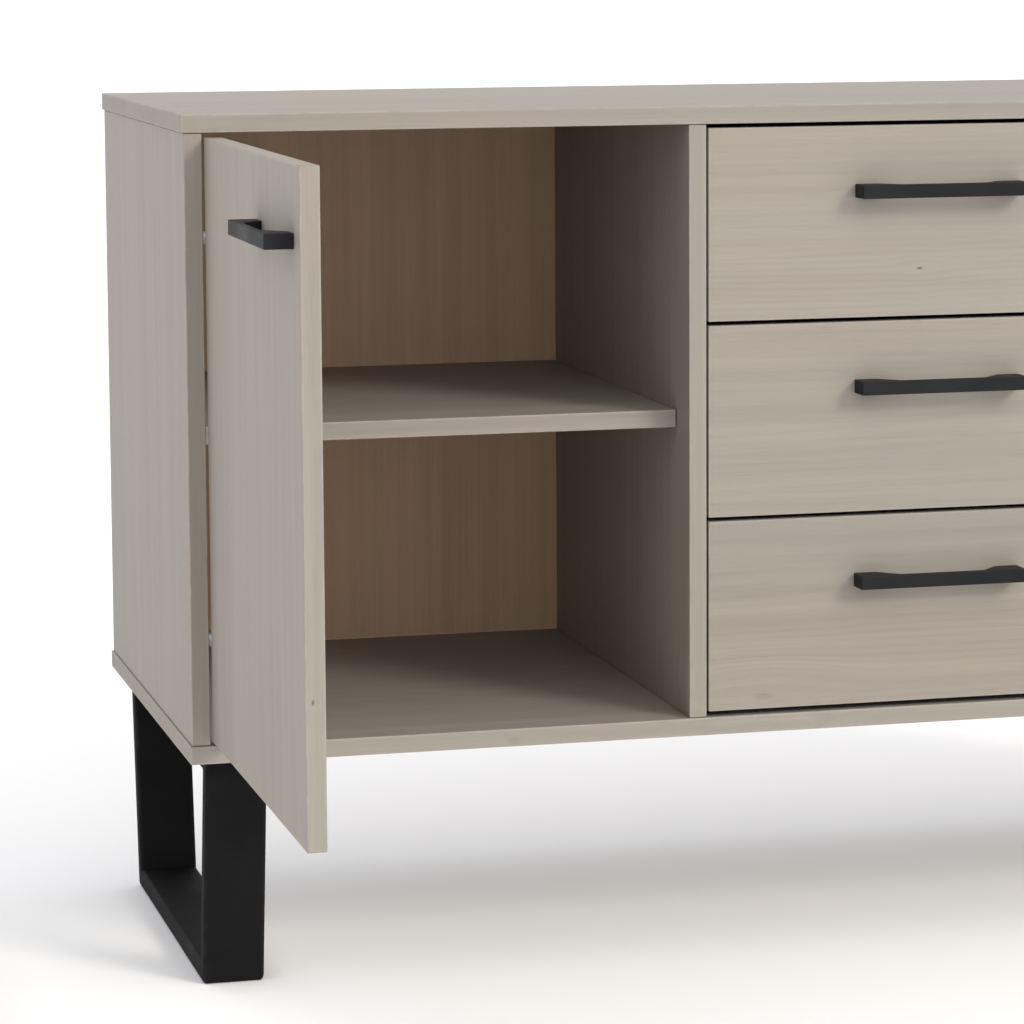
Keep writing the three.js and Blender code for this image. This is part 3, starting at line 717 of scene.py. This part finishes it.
def wood_finish(
    name, deep, pale, cast, heart, rings, streaks, fibres, smooth, pores, knots=(), reverse=None
):
    """Stained wood, read from each board's own place in its tree.

    The yearly rings are circles about the tree's middle: the phase is the distance from it
    over the width of a year, bent by slow noise, so a wide board shows arches and a narrow
    one straight lines. Streaks and fibres are noise drawn out along the grain. Round a knot
    the across-grain coordinate is pulled in towards the branch, so the lines flow round it.
    A board with a bare reverse is darkened on its far side.
    """
    f = Finish(name)
    place, half = f.attribute("board_place"), f.attribute("board_half")
    grain = f.vector("ADD", place, f.attribute("board_shift"))
    points = f.object_place()

    hearts = 0.0
    for node, centre, radius, darkness, branch in knots:
        low, high = corners_of(node)
        axes = board_axes(low, high, BOARD_GRAIN[node])
        away = f.vector("SUBTRACT", points, centre)
        scale = np.empty(3)
        scale[axes] = 1 / (KNOT_LENGTH * radius), 1 / radius, 1 / branch
        distance = f.number("LENGTH", f.vector("MULTIPLY", away, tuple(scale)))
        pull = f.ramp(distance, 0.8, KNOT_REACH, 0.85, 0.0)
        aside = f.maths("MULTIPLY", pull, f.parts(away)[axes[1]])
        grain = f.vector("SUBTRACT", grain, f.node("CombineXYZ", 0.0, aside, 0.0).outputs[0])
        heart_mask = f.ramp(distance, 0.35, 1.25, darkness, 0.0)
        hearts = f.maths("MAXIMUM", hearts, heart_mask)

    def drawn(kind):
        """One noise of the figure, from 0 to 1."""
        along, across, scale, detail, rough = FIGURE[kind]
        return f.noise(f.vector("MULTIPLY", grain, (along, across, across)), scale, detail, rough)

    def swing(kind):
        """The same, stretched to run from -1 to 1."""
        return f.ramp(drawn(kind), *SPANS[kind], -1.0, 1.0, False)

    bend = f.maths("SUBTRACT", drawn("bend"), 0.5)
    _, across, depth = f.parts(grain)
    across = f.plus(bend, RING_BEND, across)
    depth = f.plus(f.maths("SUBTRACT", drawn("lean"), 0.5), RING_LEAN, depth)
    from_heart = f.maths(
        "SQRT",
        f.maths("ADD", f.maths("MULTIPLY", across, across), f.maths("MULTIPLY", depth, depth)),
    )
    wobble = f.plus(drawn("wobble"), RING_WOBBLE, from_heart)
    phase = f.maths("MULTIPLY", wobble, 2 * math.pi / YEAR)
    ring = f.ramp(f.maths("SINE", phase), -0.4, 1.0)
    fading = f.ramp(drawn("fading"), *SPANS["fading"], 0.10, 1.0)
    ring = f.maths("MULTIPLY", ring, fading)

    streak, band, broad, fibre = map(swing, ("streak", "band", "broad", "fibre"))
    pore = f.ramp(drawn("pore"), *SPANS["pore"])

    tone = f.plus(streak, 0.5 * streaks, 0.55)
    for value, weight in (
        (broad, 0.4 * streaks),
        (band, 0.5 * streaks),
        (ring, -rings),
        (fibre, 0.5 * fibres),
        (pore, -pores * fibres),
        (f.attribute("board_tone", "Fac"), 0.10),
    ):
        tone = f.plus(value, weight, tone)
    wood = f.mix(deep, pale, f.maths("MULTIPLY", tone, 1.0, clamp=True))
    shade = f.ramp(drawn("shade"), *SPANS["shade"])
    wood = f.mix(wood, cast, shade, "MULTIPLY")
    if reverse:
        wood = f.mix(wood, reverse, f.ramp(f.parts(place)[2], -0.0005, 0.0005), "MULTIPLY")
    wood = f.mix(wood, heart, f.maths("MULTIPLY", hearts, 0.85))

    gap = f.parts(f.vector("SUBTRACT", half, f.vector("ABSOLUTE", place)))
    least = f.maths("MINIMUM", gap[0], f.maths("MINIMUM", gap[1], gap[2]))
    most = f.maths("MAXIMUM", gap[0], f.maths("MAXIMUM", gap[1], gap[2]))
    total = f.maths("ADD", gap[0], f.maths("ADD", gap[1], gap[2]))
    second = f.maths("SUBTRACT", f.maths("SUBTRACT", total, least), most)
    edge = f.ramp(second, *RUBBED_EDGE, 1.0, 0.0)
    wear = f.ramp(f.noise(points, 55.0, 3.0), 0.38, 0.62, 0.15, 0.55)
    paler = tuple(min(1.0, 1.22 * c) for c in pale)
    wood = f.mix(wood, paler, f.maths("MULTIPLY", edge, wear))
    end = f.ramp(gap[0], *SAWN_END, 1.0, 0.0)
    sawn = f.mix(wood, END_GRAIN, f.maths("MULTIPLY", end, 0.6), "MULTIPLY")

    gloss = f.ramp(f.plus(fibre, 0.25, tone), -0.4, 0.8, smooth, smooth + 0.16, False)
    f.set(Base_Color=sawn, Roughness=gloss, Specular_IOR_Level=0.42)
    relief = f.plus(fibre, 0.5, f.plus(pore, -1.2, f.maths("MULTIPLY", ring, 0.35)))
    f.bump(relief, 0.00012, 0.55)
    return f.material


def coating_finish(name, base, worn_and_highlit, low, high, peel_scale, shine):
    """Black powder coat: fine peel, cloudy gloss, edges paled by wear and painted highlight."""
    f = Finish(name)
    points = f.object_place()
    peel = f.noise(points, peel_scale, 2.0)
    cloud = f.noise(points, 11.0, 3.0)
    speck = f.ramp(f.noise(points, peel_scale * 2.6, 1.0), 0.60, 0.72)
    rim = f.attribute("rim", "Fac")
    wear = f.ramp(f.noise(points, 46.0, 3.0), 0.42, 0.70, 0.08, 0.6)
    # The rounded edges are made paler: partly rubbed coating, partly a painted highlight.
    rubbed_and_highlit = f.maths("MULTIPLY", rim, wear)
    coat = f.mix(base, tuple(1.5 * c for c in base), f.ramp(cloud, 0.35, 0.65))
    coat = f.mix(coat, worn_and_highlit, rubbed_and_highlit)
    coat = f.mix(coat, tuple(2.2 * c for c in base), f.maths("MULTIPLY", speck, 0.35))
    gloss = f.ramp(cloud, 0.3, 0.7, low, high)
    f.set(Base_Color=coat, Roughness=gloss, Specular_IOR_Level=shine)
    f.bump(f.plus(speck, 0.4, peel), 0.00008, 0.5)
    return f.material


def zinc_finish():
    """Bright plated steel with faint rolling marks and dull patches."""
    known = bpy.data.materials.get("plated_steel")
    if known:
        return known
    settings = bpy.context.scene.sideboard_metal
    f = Finish("plated_steel")
    points = f.object_place()
    rolled = f.noise(f.vector("MULTIPLY", points, (260.0, 260.0, 2600.0)), 1.0, 2.0)
    cloud = f.noise(points, 85.0, 3.0)
    base = tuple(settings.zinc)
    dull = tuple(0.62 * c for c in base)
    metal = f.mix(base, dull, f.ramp(cloud, 0.4, 0.75, 0.0, 0.35))
    f.set(Base_Color=metal, Metallic=1.0, Roughness=f.ramp(cloud, 0.3, 0.7, 0.30, 0.40))
    f.bump(rolled, 0.00003, 0.30)
    return f.material


def named_wood(kind):
    """The wood for that slot, made the first time it is asked for."""
    name = kind + "_grain"
    known = bpy.data.materials.get(name)
    if known:
        return known
    s = bpy.context.scene.sideboard_boards
    deep, pale, cast = {
        "back_board": (s.back_deep, s.back_pale, BACK_CAST),
        "drawer_wood": (s.box_deep, s.box_pale, BOX_CAST),
    }.get(kind, (s.greige_deep, s.greige_pale, GREIGE_CAST))
    knots = KNOTS if kind == "greige_wood" else ()
    reverse = BARE_REVERSE if kind == "back_board" else None
    colours = tuple(deep), tuple(pale), cast, tuple(s.knot)
    return wood_finish(name, *colours, *WOODS[kind], knots, reverse)


BOARD_GRAIN = {
    **CARCASS_GRAIN,
    **{f"{side}_door_panel": Z for side in DOORS},
    **{f"{level}_drawer_front": X for level in DRAWERS},
}


# ---------------------------------------------------------------- pieces


class SIDEBOARD_OT_carcass_boards(Operator):
    """Builds the top, bottom, end boards and dividers."""

    bl_idname = "sideboard.carcass_boards"
    bl_label = "Carcass boards"

    def execute(self, context):
        for node, grain in CARCASS_GRAIN.items():
            lay_board(node, grain, "greige_wood")
        return {"FINISHED"}


class SIDEBOARD_OT_shelves(Operator):
    """Builds the two shelves and the steel pins they rest on."""

    bl_idname = "sideboard.shelves"
    bl_label = "Shelves and pins"

    def execute(self, context):
        walls = {
            "left_shelf": ("left_side_panel", "left_divider"),
            "right_shelf": ("right_divider", "right_side_panel"),
        }
        for node in SHELVES:
            lay_board(node, X, "inner_wood")
            low, high = corners_of(node)
            rows = [low[Y] + PIN_INSET, high[Y] - PIN_INSET]
            height = low[Z] - PIN_DROP
            near, far = walls[node]
            for wall, x, way in (
                (near, corners_of(near)[1][X], 1.0), (far, corners_of(far)[0][X], -1.0)
            ):
                centres = [(x, y, height) for y in rows]
                pins = turned_row(f"{node}_{wall}_pins", SHELF_PIN, centres, (way, 0.0, 0.0))
                seat(pins, node, zinc_finish(), stands_for=False)
        return {"FINISHED"}


class SIDEBOARD_OT_back_panel(Operator):
    """Builds the thin back and the screws that hold it to the dividers."""

    bl_idname = "sideboard.back_panel"
    bl_label = "Back panel"

    def execute(self, context):
        lay_board("back_panel", Z, "back_board", thin=True)
        low, high = corners_of("back_panel")
        heights = np.linspace(
            low[Z] + BACK_SCREW_MARGIN, high[Z] - BACK_SCREW_MARGIN, BACK_SCREW_COUNT
        )
        lines = [np.mean([c[X] for c in corners_of(f"{side}_divider")]) for side in SIDES]
        centres = [(x, high[Y], z) for x in lines for z in heights]
        fix_screws("back_panel", "back", centres, (0.0, 1.0, 0.0))
        return {"FINISHED"}


class SIDEBOARD_OT_doors(Operator):
    """Builds the two door leaves, with the bores for their hinges."""

    bl_idname = "sideboard.doors"
    bl_label = "Doors"

    def execute(self, context):
        for side in DOORS:
            lay_cut_board(f"{side}_door_panel", Z, "greige_wood")
        return {"FINISHED"}


class SIDEBOARD_OT_hinges(Operator):
    """Builds each hinge's cup, link and arm, with the screws in the cup and the arm."""

    bl_idname = "sideboard.hinges"
    bl_label = "Hinges"

    def execute(self, context):
        metal = zinc_finish()
        for side in DOORS:
            for level in LEVELS:
                stem = f"{side}_door_{level}_hinge"
                for part in ("cup", "arm", "link"):
                    piece = traced(f"{stem}_{part}", f"{stem}_{part}_steel")
                    piece.data.set_sharp_from_angle(angle=HINGE_CREASE)
                    seat(piece, f"{stem}_{part}", metal)
                self.screw_cup(stem)
                self.screw_arm(stem, 1.0 if side == "left" else -1.0)
        return {"FINISHED"}

    def screw_cup(self, stem):
        """Two screws through the cup's wings, which face out of the door's inner side."""
        low, high = corners_of(f"{stem}_cup")
        middle = (low + high) / 2
        out = X if high[X] - low[X] < high[Y] - low[Y] else Y
        axis = np.eye(3)[out]
        centres = np.repeat(middle[None], 2, axis=0)
        centres[:, out] = high[out]
        centres[:, Z] = middle[Z] + CUP_SCREW_REACH * BOTH_WAYS
        fix_screws(f"{stem}_cup", "cup", centres, axis)

    def screw_arm(self, stem, way):
        """Two screws through the arm's plate into the end board."""
        low, high = corners_of(f"{stem}_arm")
        wall = low[X] if way > 0 else high[X]
        heights = (low[Z] + high[Z]) / 2 + ARM_SCREW_REACH * BOTH_WAYS
        centres = [(wall + way * ARM_PLATE, high[Y] - ARM_SCREW_INSET, z) for z in heights]
        fix_screws(f"{stem}_arm", "arm", centres, (way, 0.0, 0.0))


class SIDEBOARD_OT_drawers(Operator):
    """Builds the three drawers: front, two sides, back and tray."""

    bl_idname = "sideboard.drawers"
    bl_label = "Drawers"

    def execute(self, context):
        for level in DRAWERS:
            stem = f"{level}_drawer"
            lay_cut_board(f"{stem}_front", X, "greige_wood")
            for side in SIDES:
                lay_cut_board(f"{stem}_{side}_side", Y, "drawer_wood")
            lay_board(f"{stem}_back", X, "drawer_wood")
            lay_board(f"{stem}_bottom", X, "drawer_wood", thin=True)
        return {"FINISHED"}


class SIDEBOARD_OT_runners(Operator):
    """Builds the steel channels that carry the drawers."""

    bl_idname = "sideboard.runners"
    bl_label = "Runners"

    def execute(self, context):
        metal = zinc_finish()
        for level in DRAWERS:
            for side in SIDES:
                inward = 1.0 if side == "left" else -1.0
                self.channel(f"{level}_{side}_cabinet_runner", inward, metal)
                self.channel(f"{level}_{side}_drawer_runner", -inward, metal)
                self.screw_channel(f"{level}_{side}_drawer_runner", -inward)
        return {"FINISHED"}

    def channel(self, node, opening, metal):
        """A bent steel channel whose open side looks towards plus or minus X."""
        low, high = corners_of(node)
        web, tip = (low[X], high[X]) if opening > 0 else (high[X], low[X])
        inside = web + RUNNER_STEEL * opening
        below, above = low[Z] + RUNNER_STEEL, high[Z] - RUNNER_STEEL
        outline = np.array([
            (low[Z], web), (low[Z], tip), (below, tip), (below, inside),
            (above, inside), (above, tip), (high[Z], tip), (high[Z], web),
        ])
        radii = np.array([FOLD, CUT, CUT, INNER_FOLD, INNER_FOLD, CUT, CUT, FOLD])
        if opening > 0:
            outline, radii = outline[::-1], radii[::-1]
        drawn = rounded_outline(outline, radii, 3)
        piece = carried_outline(
            node + "_steel", drawn, low[Y], high[Y], RUNNER_END, 1, (Z, X, Y)
        )
        seat(piece, node, metal)

    def screw_channel(self, node, opening):
        """Three screws through the web of the channel on the drawer."""
        low, high = corners_of(node)
        web = low[X] if opening > 0 else high[X]
        places = low[Y] + (high[Y] - low[Y]) * RUNNER_SCREWS
        middle = (low[Z] + high[Z]) / 2
        centres = [(web + opening * RUNNER_STEEL, y, middle) for y in places]
        fix_screws(node, "runner", centres, (opening, 0.0, 0.0))


class SIDEBOARD_OT_handles(Operator):
    """Builds the five bridge handles and the screws that hold them from behind."""

    bl_idname = "sideboard.handles"
    bl_label = "Handles"

    def execute(self, context):
        s = context.scene.sideboard_metal
        black, worn_and_highlit = tuple(s.handle_black), tuple(s.worn_and_highlit)
        coat = coating_finish("handle_coating", black, worn_and_highlit, *HANDLE_COAT)
        for side in DOORS:
            self.handle(f"{side}_door_handle", f"{side}_door_panel", s, coat)
        for level in DRAWERS:
            self.handle(f"{level}_drawer_handle", f"{level}_drawer_front", s, coat)
        return {"FINISHED"}

    def handle(self, node, board, s, coat):
        """A bar on two feet, drawn from above and carried up through its height."""
        low, high = corners_of(node)
        board_low, board_high = corners_of(board)
        out = X if high[X] - low[X] < high[Y] - low[Y] else Y
        along = Y if out == X else X
        feet, front = high[out], low[out]
        start, end = low[along], high[along]
        slope = (feet - front) - s.bar
        corners = np.empty((8, 2))
        corners[:, 0] = [start, start, end, end, end - s.foot, end - s.foot - slope,
                         start + s.foot + slope, start + s.foot]
        corners[:, 1] = [feet, front, front, feet, feet, front + s.bar, front + s.bar, feet]
        if along == Y:
            corners = corners[::-1, ::-1]
        drawn = rounded_outline(corners, [s.handle_corner] * 8, 4)
        piece = carried_outline(
            node + "_bar", drawn, low[Z], high[Z], 0.9 * s.handle_corner, 4, (X, Y, Z)
        )
        seat(piece, node, coat)
        centres = np.repeat(((low + high) / 2)[None], 2, axis=0)
        centres[:, along] += BOTH_WAYS * s.screw_spacing / 2
        centres[:, out] = board_high[out]
        axis = np.eye(3)[out]
        fix_screws(node, "handle", centres, axis)


class SIDEBOARD_OT_leg_frames(Operator):
    """Builds the two sled legs and the screws up into the carcass."""

    bl_idname = "sideboard.leg_frames"
    bl_label = "Sled legs"

    def execute(self, context):
        s = context.scene.sideboard_metal
        black, worn_and_highlit = tuple(s.steel_black), tuple(s.worn_and_highlit)
        coat = coating_finish("leg_coating", black, worn_and_highlit, *LEG_COAT)
        for node in LEG_FRAMES:
            low, high = corners_of(node)
            places = np.array([v.co for v in frame["nodes"][node].data.vertices])
            foot = places[places[:, Z] < low[Z] + 1e-4]
            inset = foot[:, Y].min() - low[Y]
            piece = sled_tube(node + "_tube", low, high, inset, s)
            seat(piece, node, coat)
            middle = (low + high) / 2
            under = high[Z] - s.top_bar
            centres = [
                (middle[X] + dx, middle[Y] + dy, under)
                for dx in LEG_SCREW_SIDE * BOTH_WAYS for dy in LEG_SCREW_REACH * BOTH_WAYS
            ]
            fix_screws(node, "leg", centres, (0.0, 0.0, -1.0))
        return {"FINISHED"}


class SIDEBOARD_OT_stage(Operator):
    """Sets out the pale floor, the soft light and the camera."""

    bl_idname = "sideboard.stage"
    bl_label = "Stage"

    def execute(self, context):
        s = context.scene.sideboard_stage
        self.floor(s)
        self.light(context.scene, s)
        self.camera(context.scene, s)
        return {"FINISHED"}

    def floor(self, s):
        """A flat disc: rings of growing radius about the object, closed in the middle."""
        rings = np.geomspace(FLOOR_FIRST_RING, s.floor_radius, FLOOR_RINGS)
        rings = np.concatenate([[0.0], rings])
        profile = np.stack([rings, np.zeros_like(rings)], axis=1)
        place, upwards = [(0.0, 0.0, -FLOOR_DROP)], (0.0, 0.0, 1.0)
        floor = turned_row("floor", profile, place, upwards, sides=FLOOR_SIDES, closed=False)
        f = Finish("pale_floor")
        cloud = f.noise(f.object_place(), 3.0, 3.0)
        base = tuple(s.floor_colour)
        colour = f.mix(base, tuple(0.985 * c for c in base), cloud)
        f.set(Base_Color=colour, Roughness=0.7, Specular_IOR_Level=0.25)
        floor.data.materials.append(f.material)

    def light(self, scene, s):
        """An even, slightly cool sky, and a warm key with a broad fill from the upper right."""
        world = bpy.data.worlds.new("studio")
        world.use_nodes = True
        sky = world.node_tree.nodes["Background"]
        sky.inputs["Color"].default_value = (*s.sky_colour, 1.0)
        sky.inputs["Strength"].default_value = s.sky
        scene.world = world
        for name, strength, spread in (
            ("key_light", s.key, s.key_spread), ("fill_light", s.fill, s.fill_spread)
        ):
            sun = bpy.data.lights.new(name, "SUN")
            sun.energy, sun.angle, sun.color = strength, spread, s.key_colour
            lamp = bpy.data.objects.new(name, sun)
            scene.collection.objects.link(lamp)
            lamp.rotation_euler = (math.pi / 2 - s.key_height, 0.0, s.key_side)
        scene.view_settings.view_transform = "Standard"
        scene.view_settings.look = "None"

    def camera(self, scene, s):
        """The camera: right, up and backward directions from its yaw, pitch and roll."""
        yaw, pitch, roll = s.camera_yaw, s.camera_pitch, s.camera_roll
        right = np.array([math.cos(yaw), -math.sin(yaw), 0.0])
        ahead = np.array([
            math.sin(yaw) * math.cos(pitch), math.cos(yaw) * math.cos(pitch), -math.sin(pitch)
        ])
        up = np.cross(right, ahead)
        leaned_right = right * math.cos(roll) + up * math.sin(roll)
        leaned_up = up * math.cos(roll) - right * math.sin(roll)
        turn = Matrix((leaned_right, leaned_up, -ahead)).transposed()
        data = bpy.data.cameras.new("studio_camera")
        data.lens, data.sensor_width = s.camera_lens, SENSOR_WIDTH
        data.shift_x, data.shift_y = s.camera_shift
        data.clip_start, data.clip_end = NEAR_CLIP, 2 * s.floor_radius
        camera = bpy.data.objects.new("studio_camera", data)
        scene.collection.objects.link(camera)
        camera.location = s.camera_place
        camera.rotation_euler = turn.to_euler()
        scene.camera = camera


# ---------------------------------------------------------------- panel and run


STEPS = (
    SIDEBOARD_OT_carcass_boards,
    SIDEBOARD_OT_shelves,
    SIDEBOARD_OT_back_panel,
    SIDEBOARD_OT_doors,
    SIDEBOARD_OT_hinges,
    SIDEBOARD_OT_drawers,
    SIDEBOARD_OT_runners,
    SIDEBOARD_OT_handles,
    SIDEBOARD_OT_leg_frames,
    SIDEBOARD_OT_stage,
)


class SIDEBOARD_PT_build(Panel):
    """Lists the sideboard's building steps."""

    bl_idname = "SIDEBOARD_PT_build"
    bl_label = "Sideboard"
    bl_space_type = "VIEW_3D"
    bl_region_type = "UI"
    bl_category = "Sideboard"

    def draw(self, context):
        for step in STEPS:
            self.layout.operator(step.bl_idname)


SETTINGS = {
    "sideboard_boards": BoardSettings,
    "sideboard_metal": MetalSettings,
    "sideboard_stage": StageSettings,
}


def register():
    for cls in (*SETTINGS.values(), *STEPS, SIDEBOARD_PT_build):
        bpy.utils.register_class(cls)
    for name, cls in SETTINGS.items():
        setattr(bpy.types.Scene, name, PointerProperty(type=cls))


def unregister():
    for name in SETTINGS:
        delattr(bpy.types.Scene, name)
    for cls in (SIDEBOARD_PT_build, *reversed(STEPS), *reversed(SETTINGS.values())):
        bpy.utils.unregister_class(cls)


def main():
    """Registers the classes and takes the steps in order."""
    register()
    for step in STEPS:
        group, name = step.bl_idname.split(".")
        getattr(getattr(bpy.ops, group), name)()


if __name__ == "__main__":
    main()
